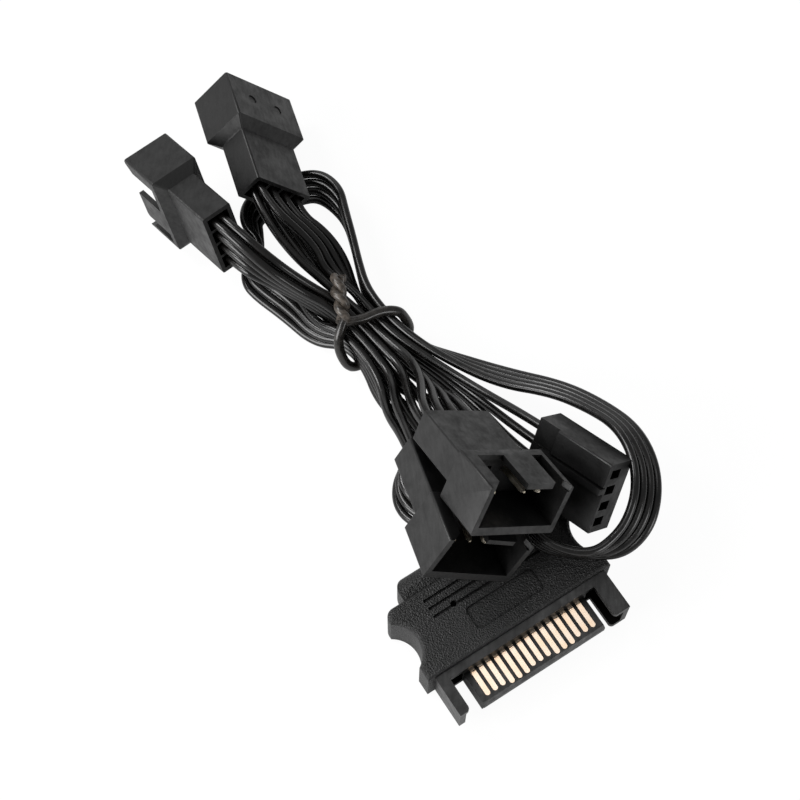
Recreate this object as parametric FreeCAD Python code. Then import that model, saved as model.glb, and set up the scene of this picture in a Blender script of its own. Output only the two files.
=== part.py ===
"""Fan splitter cable: four fan sockets, one header plug and one SATA power plug on a tied wire harness.

Lengths are in mm. X runs to the right, Y runs away from the viewer, Z runs up from the table.
Every plug is modelled in its own frame and then placed by a pose: the middle of its mouth,
the direction from mouth to rear, and the outward direction of its marked side.
"""
import os
import math
import FreeCAD
import Part

V = FreeCAD.Vector
os.makedirs("parts", exist_ok=True)

# Middle of the rigid pieces in the layout, taken off every coordinate.
ORIGIN_X = -4.863
ORIGIN_Y = 0.074

# Wires
WIRE_DIA = 1.3
STRAND_STEP = 1.36
ROW_STEP = 1.36
WIRE_SEAT = 3.0
WIRE_LEAD = 2.6
BEND_SHARE = 0.45

# Fan socket: a wide box, a sloped shoulder and a narrow neck
PIN_PITCH = 2.54
PIN_SIZE = 0.64
PIN_FIT = 0.02
PIN_TIP = 0.5
PIN_START = 2.4
PIN_RISE = 1.25
PIN_NOSE = 0.45
BOX_WIDTH = 14.0
BOX_THICK = 7.9
BOX_LENGTH = 8.3
BOX_WALL = 0.8
PLAIN_WALL = 1.3
BOX_CORNER = 0.35
CAVITY_DEPTH = 7.8
SHOULDER_LENGTH = 1.44
NECK_WIDTH = 11.15
NECK_THICK = 4.9
NECK_CORNER = 0.3
SOCKET_LENGTH = 19.5
CELL_WIDTH = 2.1
CELL_HEIGHT = 3.6
CELL_DEPTH = 6.5
CELL_FLOOR = SOCKET_LENGTH - CELL_DEPTH
CRIMP_WIDTH = 1.7
CRIMP_HEIGHT = 3.2

# Key wall of the fan socket: a rail on the left, a notch, a tab, a slot and a thin rail on the right
RAIL_WIDTH = 2.1
RAIL_BEVEL = 1.35
TAB_WIDTH = 4.85
TAB_SETBACK = 0.55
TAB_BEVEL = 0.4
SLOT_WIDTH = 1.75
SLOT_RAIL = 0.9
SLOT_BEVEL = 0.5
NOTCH_DEPTH = 7.1
DIMPLE_DIA = 1.5
DIMPLE_DEPTH = 0.15
DIMPLE_SPREAD = 2.7
DIMPLE_AT = 3.9

# Header plug with four square holes
HEAD_WIDTH = 11.1
HEAD_THICK = 5.33
HEAD_LENGTH = 13.6
HEAD_OFFSET = -0.85
HEAD_CORNER = 0.25
HEAD_HOLE = 1.4
HEAD_HOLE_HEIGHT = 2.0
HEAD_LIP = 1.5
HEAD_CELL_WIDTH = 1.9
HEAD_CELL_HEIGHT = 2.0
HEAD_STEP_DEPTH = 0.4
HEAD_STEP_AT = 1.9
HEAD_PAD_LENGTH = 9.8
HEAD_PAD_DROP = 0.6
HEAD_RIB_AT = 1.27
HEAD_RIB_WIDTH = 0.9
HEAD_RIB_HEIGHT = 0.65
HEAD_RIB_LENGTH = 11.6
HEAD_EDGE_BEVEL = 0.4
HEAD_WINDOW_WIDTH = 1.3
HEAD_WINDOW_LENGTH = 2.2
HEAD_WINDOW_AT = 6.0
LEAF_THICK = 0.2
LEAF_SETBACK = 1.2
LEAF_END = 0.5

# SATA power plug: moulded grip
GRIP_HALF_WIDTH = 15.3
GRIP_FRONT = 1.15
GRIP_REAR = 12.5
GRIP_HEIGHT = 8.0
GRIP_EDGE = 0.6
GRIP_REAR_CORNER = 1.4
SCALLOP_RADIUS = 4.24
SCALLOP_DEPTH = 2.0
SCALLOP_BACK = 5.85
BOSS_HALF_WIDTH = 11.8
BOSS_REAR = 16.0
BOSS_BOTTOM = 1.0
BOSS_TOP = 6.9
BOSS_ROUND = 2.2
BOSS_SUNK = 3.0
LABEL_HALF_WIDTH = 5.6
LABEL_FRONT = 3.25
LABEL_BACK = 6.9
LABEL_CORNER = 0.7
LABEL_DEPTH = 0.25
VENT_DIA = 0.9
VENT_X = -6.4
VENT_Y = 8.35
VENT_DEPTH = 1.2
GROOVE_HALF_LENGTH = 9.8
GROOVE_FIRST = 8.0
GROOVE_STEP = 1.3
GROOVE_COUNT = 3
GROOVE_WIDTH = 0.4
GROOVE_DEPTH = 0.25
WIRE_HOLE_DEPTH = 2.0
WIRE_HOLE_HEIGHT = 4.0
WIRE_HOLE_FIT = 0.02

# SATA power plug: tongue, guide arms and contacts
TONGUE_HALF = 10.2
TONGUE_TIP = -5.3
TONGUE_TOP = 4.6
TONGUE_THICK = 2.0
TONGUE_BEVEL = 0.4
KEY_WIDTH = 1.3
KEY_DROP = 1.7
CORE_COVER = 1.9
CORE_HALF = GRIP_HALF_WIDTH - CORE_COVER
CORE_BOTTOM = 0.9
CORE_TOP = 7.1
CORE_FRONT = -0.1
CORE_BACK = 4.4
ARM_INSET = 1.1
ARM_OUTER = GRIP_HALF_WIDTH - ARM_INSET
ARM_TIP = -5.15
ARM_PLATE = 1.0
ARM_CORNER = 0.6
BLADE_WIDTH = 1.65
CHANNEL_WIDTH = 2.6
POCKET_DEPTH = 2.2
POCKET_GAP = 0.2
CONTACT_COUNT = 15
CONTACT_PITCH = 1.27
CONTACT_WIDTH = 0.75
CONTACT_LENGTH = 4.4
CONTACT_EXTRA = 0.4
CONTACT_ROOT = 0.8
CONTACT_THICK = 0.35
CONTACT_SUNK = 0.22
LONG_CONTACTS = (4, 5, 6, 10, 11, 12)

# Twist tie
TIE_DIA = 1.5
TIE_TAIL_DIA = 2.4
TIE_KNOT_DIA = 2.6

# Poses: mouth middle, mouth-to-rear direction, outward direction of the key wall or rib
SOCKET_1 = (V(-24.86, 47.96, 7.642), V(0.294, -0.948, 0.119), V(-0.685, -0.296, -0.666))
SOCKET_2 = (V(-37.46, 34.37, 6.65), V(0.598, -0.721, 0.349), V(-0.775, -0.631, 0.025))
SOCKET_3 = (V(16.21, -26.17, 23.80), V(-0.467, 0.792, -0.392), V(0.341, 0.571, 0.747))
SOCKET_4 = (V(10.66, -30.90, 16.70), V(-0.295, 0.916, -0.271), V(0.458, 0.385, 0.801))
HEADER = (V(28.52, -21.18, 15.05), V(-0.688, 0.650, -0.324), V(-0.674, -0.406, 0.617))
SATA = (V(17.35, -37.71, 0.0), V(-0.543, 0.839, 0.0), V(0.0, 0.0, 1.0))

# Six ribbons stand on edge side by side under the tie
TIE_X = -4.2
TIE_Y = 8.6
TIE_Z = 4.3
TIE_RUN = V(0.65, -0.76, 0.0)
TIE_SIDE = V(0.76, 0.65, 0.0)
LANE_STEP = 1.4
LANE_HALF_RUN = 2.5

UP = (0.0, 0.0, STRAND_STEP)
LOOSE = (0.0, 0.0, 1.42)
WIDE = (0.0, 0.0, 1.5)
FLARE = (-0.7, -0.2, 1.5)


def lane(number):
    """Two route stations that carry a ribbon straight through the tie in lane 1 to 6."""
    across = TIE_SIDE * ((number - 3.5) * LANE_STEP)
    middle = V(TIE_X, TIE_Y, TIE_Z) + across
    entry = middle - TIE_RUN * LANE_HALF_RUN
    leave = middle + TIE_RUN * LANE_HALF_RUN
    return [(entry.x, entry.y, entry.z, UP), (leave.x, leave.y, leave.z, UP)]


# Route stations of each ribbon: x, y, z of its middle, then the step from strand to strand
ROUTE_1_HEADER = [
    (-14.3, 23.2, 8.0, (-1.1, -0.3, 1.2)),
    (-10.7, 20.0, 5.6, (-0.8, -0.4, 1.1)),
    (-7.5, 16.2, 4.7, (-0.3, -0.15, 1.35)),
] + lane(5) + [
    (4.6, 3.4, 4.2, LOOSE),
    (10.6, -3.4, 5.4, (0.2, 0.4, 1.6)),
]
ROUTE_1_3 = [
    (-16.8, 20.8, 8.2, (-0.8, -0.2, 1.5)),
    (-11.2, 16.0, 6.0, LOOSE),
] + lane(4) + [
    (1.2, 1.6, 5.6, LOOSE),
    (3.9, -3.1, 10.1, FLARE),
]
ROUTE_2_3 = [
    (-19.4, 16.8, 13.2, (-0.2, 0.4, 1.9)),
    (-14.6, 14.9, 9.0, WIDE),
    (-10.4, 12.9, 5.8, UP),
] + lane(3) + [
    (0.0, 0.8, 4.8, LOOSE),
    (2.7, -4.2, 8.6, FLARE),
]
ROUTE_2_4 = [
    (-20.4, 15.4, 13.0, (-0.2, 0.4, 1.9)),
    (-15.5, 13.4, 8.8, WIDE),
    (-11.3, 11.6, 5.7, UP),
] + lane(2) + [
    (-1.6, 0.0, 4.4, LOOSE),
    (0.9, -5.2, 7.6, FLARE),
]
ROUTE_4_SATA = [
    (-0.5, -5.8, 5.7, FLARE),
    (-3.0, -0.8, 4.4, LOOSE),
] + lane(1)[::-1] + [
    (-12.8, 9.3, 2.8, (0.2, 0.3, 1.3)),
    (-17.0, 12.4, 2.3, (0.6, 0.9, 0.95)),
    (-21.0, 15.3, 2.3, (0.75, 0.75, 0.95)),
    (-23.7, 18.3, 2.4, (0.9, 0.45, 1.0)),
    (-24.3, 21.2, 2.6, (0.7, 0.1, 1.15)),
    (-23.2, 24.2, 2.8, (0.1, 0.0, 1.36)),
    (-24.0, 27.6, 2.7, (-0.5, 0.0, 1.26)),
    (-23.3, 31.0, 2.4, (-0.7, 0.3, 1.12)),
    (-20.0, 33.9, 1.7, (-0.55, 1.1, 0.6)),
    (-16.0, 35.8, 1.6, (-0.3, 1.22, 0.52)),
    (-12.3, 36.0, 2.2, (0.2, 1.02, 0.92)),
    (-9.6, 33.6, 2.7, (0.4, 0.5, 1.2)),
    (-8.4, 29.8, 3.0, (0.0, -0.2, 1.34)),
    (-7.2, 25.2, 3.3, (0.0, -0.45, 1.28)),
    (-6.2, 20.4, 3.7, (0.0, -0.4, 1.3)),
    (-5.2, 16.2, 4.0, UP),
] + lane(6) + [
    (6.4, 6.3, 4.3, (-0.2, -0.45, 1.27)),
    (15.2, 2.1, 6.3, (-0.4, -0.75, 1.05)),
    (23.0, -1.9, 8.8, (-0.6, -0.8, 0.92)),
    (28.2, -6.0, 11.6, (-0.85, -0.6, 0.87)),
    (31.9, -10.2, 14.3, (-1.0, -0.35, 0.85)),
    (33.9, -15.4, 15.6, (-1.1, -0.1, 0.8)),
    (34.2, -20.4, 15.2, (-1.1, 0.1, 0.8)),
    (33.0, -24.5, 13.3, (-0.9, 0.5, 0.88)),
    (30.3, -27.0, 11.2, (-0.55, 0.4, 1.27)),
    (26.6, -28.0, 10.9, (0.0, -0.3, 1.33)),
    (22.8, -27.6, 10.8, (0.0, -0.3, 1.33)),
    (19.4, -26.3, 10.9, UP),
    (17.4, -23.0, 11.0, UP),
    (16.2, -18.6, 9.7, UP),
    (13.6, -14.0, 5.6, UP),
    (10.2, -10.4, 3.3, UP),
    (6.0, -8.6, 2.8, UP),
    (1.8, -9.6, 2.8, UP),
    (-0.2, -13.3, 2.9, (0.3, 0.1, 1.36)),
    (0.8, -17.3, 3.3, (0.75, 0.75, 1.02)),
    (4.3, -19.9, 3.8, (1.0, 0.9, 0.45)),
]

# Tie route in the tie frame: across the lanes, along the bundle, height
TIE_LOOP = [
    (-3.0, -2.8, 8.9),
    (-0.4, -1.8, 8.5),
    (2.6, -0.7, 8.2),
    (4.9, 0.4, 7.4),
    (5.5, 1.5, 5.0),
    (5.8, 2.0, 2.7),
    (4.9, 2.4, 0.8),
    (0.2, 2.0, 0.8),
    (-4.3, 1.1, 0.8),
    (-5.4, 0.6, 2.4),
    (-5.7, -0.3, 4.4),
    (-5.5, -1.2, 6.4),
    (-4.6, -2.1, 8.1),
]
# Tail of the tie in layout coordinates, from the knot to its end
TIE_TAIL = [
    (-8.6, 11.2, 10.0),
    (-9.3, 13.2, 10.4),
    (-9.2, 15.6, 10.4),
]


def rounded_plate(width, thick, corner, y, centre=0.0):
    """Closed outline across the plug axis, with round corners, at distance y from the mouth."""
    half = width / 2.0
    low = centre - thick / 2.0
    high = centre + thick / 2.0
    side = corner * (1.0 - math.sqrt(0.5))
    edges = [
        Part.LineSegment(V(-half + corner, y, low), V(half - corner, y, low)),
        Part.Arc(V(half - corner, y, low), V(half - side, y, low + side), V(half, y, low + corner)),
        Part.LineSegment(V(half, y, low + corner), V(half, y, high - corner)),
        Part.Arc(V(half, y, high - corner), V(half - side, y, high - side), V(half - corner, y, high)),
        Part.LineSegment(V(half - corner, y, high), V(-half + corner, y, high)),
        Part.Arc(V(-half + corner, y, high), V(-half + side, y, high - side), V(-half, y, high - corner)),
        Part.LineSegment(V(-half, y, high - corner), V(-half, y, low + corner)),
        Part.Arc(V(-half, y, low + corner), V(-half + side, y, low + side), V(-half + corner, y, low)),
    ]
    return Part.Wire([edge.toShape() for edge in edges])


def prism(outline, length):
    """Solid made by pushing an outline along Y."""
    return Part.Face(outline).extrude(V(0, length, 0))


def block(x0, x1, y0, y1, z0, z1):
    """Plain box between two corners."""
    return Part.makeBox(x1 - x0, y1 - y0, z1 - z0, V(x0, y0, z0))


def slab(points, z0, z1):
    """Solid with a straight-sided outline in plan, from height z0 to height z1."""
    corners = [V(x, y, z0) for x, y in points]
    outline = Part.makePolygon(corners + [corners[0]])
    return Part.Face(outline).extrude(V(0, 0, z1 - z0))


def place(shape, pose):
    """Move a plug from its own frame to its pose in the layout."""
    mouth, rear, side = pose
    along = V(rear).normalize()
    out = V(side) - along * along.dot(side)
    out.normalize()
    row = along.cross(out)
    matrix = FreeCAD.Matrix(
        row.x, along.x, out.x, mouth.x - ORIGIN_X,
        row.y, along.y, out.y, mouth.y - ORIGIN_Y,
        row.z, along.z, out.z, mouth.z,
        0, 0, 0, 1)
    moved = shape.copy()
    moved.Placement = FreeCAD.Placement(matrix)
    return moved


def pin_positions():
    """Places of the four ways along the row of a plug."""
    return [(index - 1.5) * PIN_PITCH for index in range(4)]


def fan_housing():
    """Housing of one fan socket: keyed box, sloped shoulder and wired neck."""
    neck_start = BOX_LENGTH + SHOULDER_LENGTH
    shell = prism(rounded_plate(BOX_WIDTH, BOX_THICK, BOX_CORNER, 0.0), BOX_LENGTH)
    shoulder = Part.makeLoft([
        rounded_plate(BOX_WIDTH, BOX_THICK, BOX_CORNER, BOX_LENGTH),
        rounded_plate(NECK_WIDTH, NECK_THICK, NECK_CORNER, neck_start)], True, True)
    neck = prism(rounded_plate(NECK_WIDTH, NECK_THICK, NECK_CORNER, neck_start), SOCKET_LENGTH - neck_start)
    shell = shell.fuse([shoulder, neck]).removeSplitter()

    inner_half = BOX_WIDTH / 2.0 - BOX_WALL
    inner_top = BOX_THICK / 2.0 - BOX_WALL
    inner_floor = -BOX_THICK / 2.0 + PLAIN_WALL
    cuts = [block(-inner_half, inner_half, 0.0, CAVITY_DEPTH, inner_floor, inner_top)]

    # One opening in the key wall leaves two bevelled rails with a set-back tab between them
    rail = -BOX_WIDTH / 2.0 + RAIL_WIDTH
    slot_right = BOX_WIDTH / 2.0 - SLOT_RAIL
    slot_left = slot_right - SLOT_WIDTH
    tab_left = slot_left - TAB_WIDTH
    wall_out = BOX_THICK / 2.0 + 1.0
    opening = [
        (rail - RAIL_BEVEL, 0.0),
        (slot_right + SLOT_BEVEL, 0.0),
        (slot_right, RAIL_BEVEL),
        (slot_right, NOTCH_DEPTH),
        (slot_left, NOTCH_DEPTH),
        (slot_left, TAB_SETBACK + TAB_BEVEL),
        (slot_left - TAB_BEVEL, TAB_SETBACK),
        (tab_left, TAB_SETBACK),
        (tab_left, NOTCH_DEPTH),
        (rail, NOTCH_DEPTH),
        (rail, RAIL_BEVEL),
    ]
    cuts.append(slab(opening, inner_top - 0.1, wall_out))

    # Two gate dimples on the plain wall
    for x in (-DIMPLE_SPREAD, DIMPLE_SPREAD):
        face = -BOX_THICK / 2.0
        cuts.append(Part.makeCylinder(DIMPLE_DIA / 2.0, DIMPLE_DEPTH + 1.0, V(x, DIMPLE_AT, face - 1.0)))

    # Four cells in the neck, each with a square way through to the cavity
    way = PIN_SIZE / 2.0 + PIN_FIT
    for x in pin_positions():
        half = CELL_WIDTH / 2.0
        high = CELL_HEIGHT / 2.0
        cuts.append(block(x - half, x + half, CELL_FLOOR, SOCKET_LENGTH + 1.0, -high, high))
        cuts.append(block(x - way, x + way, CAVITY_DEPTH - 1.0, CELL_FLOOR + 1.0,
                          PIN_RISE - way, PIN_RISE + way))
    return shell.cut(cuts)


def square(x, y, size):
    """Square outline across a pin, at distance y from the mouth."""
    half = size / 2.0
    low = PIN_RISE - half
    high = PIN_RISE + half
    corners = [V(x - half, y, low), V(x + half, y, low), V(x + half, y, high), V(x - half, y, high)]
    return Part.makePolygon(corners + [corners[0]])


def fan_terminal(x, with_pin):
    """Crimp block in one cell and, where it is fitted, its square pin with a tapered tip."""
    crimp_rear = SOCKET_LENGTH - WIRE_SEAT
    half = CRIMP_WIDTH / 2.0
    high = CRIMP_HEIGHT / 2.0
    crimp = block(x - half, x + half, CELL_FLOOR, crimp_rear, -high, high)
    if not with_pin:
        return crimp
    size = PIN_SIZE / 2.0
    shaft_from = PIN_START + PIN_TIP
    shaft = block(x - size, x + size, shaft_from, CELL_FLOOR, PIN_RISE - size, PIN_RISE + size)
    nose = square(x, PIN_START, PIN_SIZE * PIN_NOSE)
    taper = Part.makeLoft([nose, square(x, shaft_from, PIN_SIZE)], True, True)
    return crimp.fuse([shaft, taper]).removeSplitter()


def fan_terminals(missing):
    """Terminals of one fan socket, with the pin of some ways left out."""
    return [fan_terminal(x, index not in missing) for index, x in enumerate(pin_positions())]


def header_housing():
    """Header plug: four square holes, a stepped back with a guide rib, and latch windows."""
    shell = prism(rounded_plate(HEAD_WIDTH, HEAD_THICK, HEAD_CORNER, 0.0, HEAD_OFFSET), HEAD_LENGTH)
    back = HEAD_OFFSET + HEAD_THICK / 2.0
    low = HEAD_OFFSET - HEAD_THICK / 2.0
    half = HEAD_WIDTH / 2.0
    step = block(-half - 1.0, HEAD_STEP_AT, -1.0, HEAD_LENGTH + 1.0, back - HEAD_STEP_DEPTH, back + 1.0)
    rear = block(HEAD_STEP_AT - 0.1, half + 1.0, HEAD_PAD_LENGTH, HEAD_LENGTH + 1.0,
                 back - HEAD_PAD_DROP, back + 1.0)
    shell = shell.cut([step, rear])
    rib_from = HEAD_RIB_AT - HEAD_RIB_WIDTH / 2.0
    rib_to = HEAD_RIB_AT + HEAD_RIB_WIDTH / 2.0
    rib = block(rib_from, rib_to, 0.0, HEAD_RIB_LENGTH, back - HEAD_STEP_DEPTH - 0.3, back + HEAD_RIB_HEIGHT)
    shell = shell.fuse(rib).removeSplitter()

    bevel = Part.Face(Part.makePolygon([
        V(-half - 1.0, -0.01, low - 0.01), V(-half - 1.0, HEAD_EDGE_BEVEL, low - 0.01),
        V(-half - 1.0, -0.01, low + HEAD_EDGE_BEVEL), V(-half - 1.0, -0.01, low - 0.01)]))
    cuts = [bevel.extrude(V(HEAD_WIDTH + 2.0, 0, 0))]
    hole = HEAD_HOLE / 2.0
    tall = HEAD_HOLE_HEIGHT / 2.0
    wide = HEAD_CELL_WIDTH / 2.0
    high = HEAD_CELL_HEIGHT / 2.0
    window = HEAD_WINDOW_WIDTH / 2.0
    for x in pin_positions():
        cuts.append(block(x - hole, x + hole, -1.0, HEAD_LIP + 1.0, -tall, tall))
        cuts.append(block(x - wide, x + wide, HEAD_LIP, HEAD_LENGTH + 1.0, -high, high))
        cuts.append(block(x - window, x + window, HEAD_WINDOW_AT, HEAD_WINDOW_AT + HEAD_WINDOW_LENGTH,
                          low - 1.0, 0.0))
    return shell.cut(cuts)


def header_terminals():
    """Four box terminals that fill the cells of the header plug and end where the wires start."""
    wide = HEAD_CELL_WIDTH / 2.0
    high = HEAD_CELL_HEIGHT / 2.0
    bore = HEAD_HOLE / 2.0
    rear = HEAD_LENGTH - WIRE_SEAT
    made = []
    for x in pin_positions():
        sleeve = block(x - wide, x + wide, HEAD_LIP, rear, -high, high)
        mouth = block(x - bore, x + bore, HEAD_LIP - 1.0, HEAD_WINDOW_AT - LEAF_END, -bore, bore)
        leaf = block(x - bore, x + bore, HEAD_LIP + LEAF_SETBACK, HEAD_WINDOW_AT - LEAF_END,
                     bore - LEAF_THICK, bore)
        made.append(sleeve.cut(mouth).fuse(leaf).removeSplitter())
    return made


def contact_outline(number, half, start):
    """Plan outline of one contact: straight sides and a round tip."""
    x = (number - (CONTACT_COUNT + 1) / 2.0) * CONTACT_PITCH
    length = CONTACT_LENGTH
    if number in LONG_CONTACTS:
        length = CONTACT_LENGTH + CONTACT_EXTRA
    end = -length + half
    level = TONGUE_TOP - CONTACT_SUNK
    edges = [
        Part.LineSegment(V(x - half, start, level), V(x - half, end, level)),
        Part.Arc(V(x - half, end, level), V(x, end - half, level), V(x + half, end, level)),
        Part.LineSegment(V(x + half, end, level), V(x + half, start, level)),
        Part.LineSegment(V(x + half, start, level), V(x - half, start, level)),
    ]
    return Part.Face(Part.Wire([edge.toShape() for edge in edges]))


def sata_contacts():
    """Fifteen flat contacts, each sunk a little way into its slot in the tongue."""
    half = CONTACT_WIDTH / 2.0
    made = []
    for number in range(1, CONTACT_COUNT + 1):
        made.append(contact_outline(number, half, CORE_FRONT + CONTACT_ROOT).extrude(V(0, 0, CONTACT_THICK)))
    return made


def round_front_corner(plate, x):
    """Round the upright edge of an arm's plate at its tip, on the side that faces the tongue."""
    corner = [edge for edge in plate.Edges
              if edge.BoundBox.YMax < ARM_TIP + 1e-6 and abs(edge.BoundBox.XMin - x) < 1e-6
              and abs(edge.BoundBox.XMax - x) < 1e-6]
    return plate.makeFillet(ARM_CORNER, corner)


def sata_insert():
    """Hard insert of the SATA plug: core, keyed tongue, left blade arm and right channel arm."""
    core = block(-CORE_HALF, CORE_HALF, CORE_FRONT, CORE_BACK, CORE_BOTTOM, CORE_TOP)
    face = block(-ARM_OUTER, ARM_OUTER, CORE_FRONT, GRIP_FRONT, CORE_BOTTOM, CORE_TOP)
    low = TONGUE_TOP - TONGUE_THICK
    nose = [
        V(-TONGUE_HALF, CORE_FRONT, low),
        V(-TONGUE_HALF, TONGUE_TIP + TONGUE_BEVEL, low),
        V(-TONGUE_HALF, TONGUE_TIP, low + TONGUE_BEVEL),
        V(-TONGUE_HALF, TONGUE_TIP, TONGUE_TOP - TONGUE_BEVEL),
        V(-TONGUE_HALF, TONGUE_TIP + TONGUE_BEVEL, TONGUE_TOP),
        V(-TONGUE_HALF, CORE_FRONT, TONGUE_TOP),
    ]
    tongue = Part.Face(Part.makePolygon(nose + [nose[0]])).extrude(V(2.0 * TONGUE_HALF, 0, 0))
    key_tip = TONGUE_TIP + TONGUE_BEVEL
    key = block(-TONGUE_HALF, -TONGUE_HALF + KEY_WIDTH, key_tip, CORE_FRONT,
                low - KEY_DROP, TONGUE_TOP - TONGUE_BEVEL)

    # Left arm: a blade with a top flange whose front corner is round
    web = block(-ARM_OUTER, -ARM_OUTER + ARM_PLATE, ARM_TIP, CORE_FRONT, CORE_BOTTOM, CORE_TOP)
    flange = block(-ARM_OUTER, -ARM_OUTER + BLADE_WIDTH, ARM_TIP, CORE_FRONT, CORE_TOP - ARM_PLATE, CORE_TOP)
    flange = round_front_corner(flange, -ARM_OUTER + BLADE_WIDTH)

    # Right arm: a channel that opens towards the tongue
    right_web = block(ARM_OUTER - ARM_PLATE, ARM_OUTER, ARM_TIP, CORE_FRONT, CORE_BOTTOM, CORE_TOP)
    channel = ARM_OUTER - CHANNEL_WIDTH
    upper = block(channel, ARM_OUTER, ARM_TIP, CORE_FRONT, CORE_TOP - ARM_PLATE, CORE_TOP)
    lower = block(channel, ARM_OUTER, ARM_TIP, CORE_FRONT, CORE_BOTTOM, CORE_BOTTOM + ARM_PLATE)
    upper = round_front_corner(upper, channel)
    lower = round_front_corner(lower, channel)
    insert = core.fuse([face, tongue, key, web, flange, right_web, upper, lower]).removeSplitter()

    # Pockets run from both arms to the tongue, and slots hold the contacts
    pocket_back = CORE_FRONT + POCKET_DEPTH
    floor = CORE_BOTTOM + ARM_PLATE
    roof = CORE_TOP - ARM_PLATE
    beside = TONGUE_HALF + POCKET_GAP
    cuts = [
        block(-ARM_OUTER + ARM_PLATE, -beside, CORE_FRONT, pocket_back, floor, roof),
        block(beside, ARM_OUTER - ARM_PLATE, CORE_FRONT, pocket_back, floor, roof),
    ]
    for number in range(1, CONTACT_COUNT + 1):
        slot = contact_outline(number, CONTACT_WIDTH / 2.0, CORE_FRONT + CONTACT_ROOT)
        cuts.append(slot.extrude(V(0, 0, CONTACT_THICK)))
    return insert.cut(cuts)


def strand_holes():
    """Four blind holes in the rear boss, one for each wire of the SATA ribbon."""
    bottom = BOSS_REAR - WIRE_HOLE_DEPTH
    holes = []
    for strand in range(4):
        x = (strand - 1.5) * STRAND_STEP
        holes.append(Part.makeCylinder(WIRE_DIA / 2.0 + WIRE_HOLE_FIT, WIRE_HOLE_DEPTH + 1.0,
                                       V(x, bottom, WIRE_HOLE_HEIGHT), V(0, 1, 0)))
    return holes


def sata_grip():
    """Moulded grip round the insert: scalloped sides, rounded edges, boss, recess and grooves."""
    half = GRIP_HALF_WIDTH
    middle = GRIP_FRONT + SCALLOP_BACK
    reach = math.sqrt(SCALLOP_RADIUS ** 2 - (SCALLOP_RADIUS - SCALLOP_DEPTH) ** 2)
    corner = GRIP_REAR_CORNER
    side = corner * (1.0 - math.sqrt(0.5))
    edges = [
        Part.LineSegment(V(-half, GRIP_FRONT, 0), V(half, GRIP_FRONT, 0)),
        Part.LineSegment(V(half, GRIP_FRONT, 0), V(half, middle - reach, 0)),
        Part.Arc(V(half, middle - reach, 0), V(half - SCALLOP_DEPTH, middle, 0), V(half, middle + reach, 0)),
        Part.LineSegment(V(half, middle + reach, 0), V(half, GRIP_REAR - corner, 0)),
        Part.Arc(V(half, GRIP_REAR - corner, 0), V(half - side, GRIP_REAR - side, 0),
                 V(half - corner, GRIP_REAR, 0)),
        Part.LineSegment(V(half - corner, GRIP_REAR, 0), V(-half + corner, GRIP_REAR, 0)),
        Part.Arc(V(-half + corner, GRIP_REAR, 0), V(-half + side, GRIP_REAR - side, 0),
                 V(-half, GRIP_REAR - corner, 0)),
        Part.LineSegment(V(-half, GRIP_REAR - corner, 0), V(-half, middle + reach, 0)),
        Part.Arc(V(-half, middle + reach, 0), V(-half + SCALLOP_DEPTH, middle, 0),
                 V(-half, middle - reach, 0)),
        Part.LineSegment(V(-half, middle - reach, 0), V(-half, GRIP_FRONT, 0)),
    ]
    outline = Part.Wire([edge.toShape() for edge in edges])
    grip = Part.Face(outline).extrude(V(0, 0, GRIP_HEIGHT))
    top_edges = [edge for edge in grip.Edges if abs(edge.BoundBox.ZMin - GRIP_HEIGHT) < 1e-6]
    grip = grip.makeFillet(GRIP_EDGE, top_edges)
    boss = block(-BOSS_HALF_WIDTH, BOSS_HALF_WIDTH, GRIP_REAR - BOSS_SUNK, BOSS_REAR, BOSS_BOTTOM, BOSS_TOP)
    rear_edges = [edge for edge in boss.Edges if edge.BoundBox.YMin > BOSS_REAR - 1e-6]
    boss = boss.makeFillet(BOSS_ROUND, rear_edges)
    grip = grip.fuse(boss).removeSplitter()

    label = block(-LABEL_HALF_WIDTH, LABEL_HALF_WIDTH, LABEL_FRONT, LABEL_BACK,
                  GRIP_HEIGHT - LABEL_DEPTH, GRIP_HEIGHT + 1.0)
    upright = [edge for edge in label.Edges if edge.BoundBox.ZLength > LABEL_DEPTH]
    cuts = [label.makeFillet(LABEL_CORNER, upright)]
    vent_floor = GRIP_HEIGHT - VENT_DEPTH
    cuts.append(Part.makeCylinder(VENT_DIA / 2.0, VENT_DEPTH + 1.0, V(VENT_X, VENT_Y, vent_floor)))
    for index in range(GROOVE_COUNT):
        y = GROOVE_FIRST + index * GROOVE_STEP
        cuts.append(block(-GROOVE_HALF_LENGTH, GROOVE_HALF_LENGTH, y, y + GROOVE_WIDTH,
                          GRIP_HEIGHT - GROOVE_DEPTH, GRIP_HEIGHT + 1.0))
    cuts = cuts + strand_holes()
    # The grip is moulded round the core, so its pocket is the plain outside of the core
    cuts.append(block(-CORE_HALF, CORE_HALF, CORE_FRONT, CORE_BACK, CORE_BOTTOM, CORE_TOP))
    return grip.cut(cuts)


def bent_path(points):
    """Straight runs joined by tangent arcs, and the smallest arc radius used."""
    edges = []
    here = points[0]
    smallest = 1e9
    for index in range(1, len(points) - 1):
        before = points[index] - points[index - 1]
        after = points[index + 1] - points[index]
        turn = before.getAngle(after)
        trim = BEND_SHARE * min(before.Length, after.Length)
        smallest = min(smallest, trim / math.tan(turn / 2.0))
        enter = points[index] - V(before).normalize() * trim
        leave = points[index] + V(after).normalize() * trim
        chord = (enter + leave) * 0.5
        inward = chord - points[index]
        radius = trim / math.tan(turn / 2.0)
        bulge = math.hypot(radius, trim) - radius
        middle = points[index] + V(inward).normalize() * bulge
        edges.append(Part.LineSegment(here, enter).toShape())
        edges.append(Part.Arc(enter, middle, leave).toShape())
        here = leave
    edges.append(Part.LineSegment(here, points[-1]).toShape())
    return Part.Wire(edges), smallest


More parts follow.
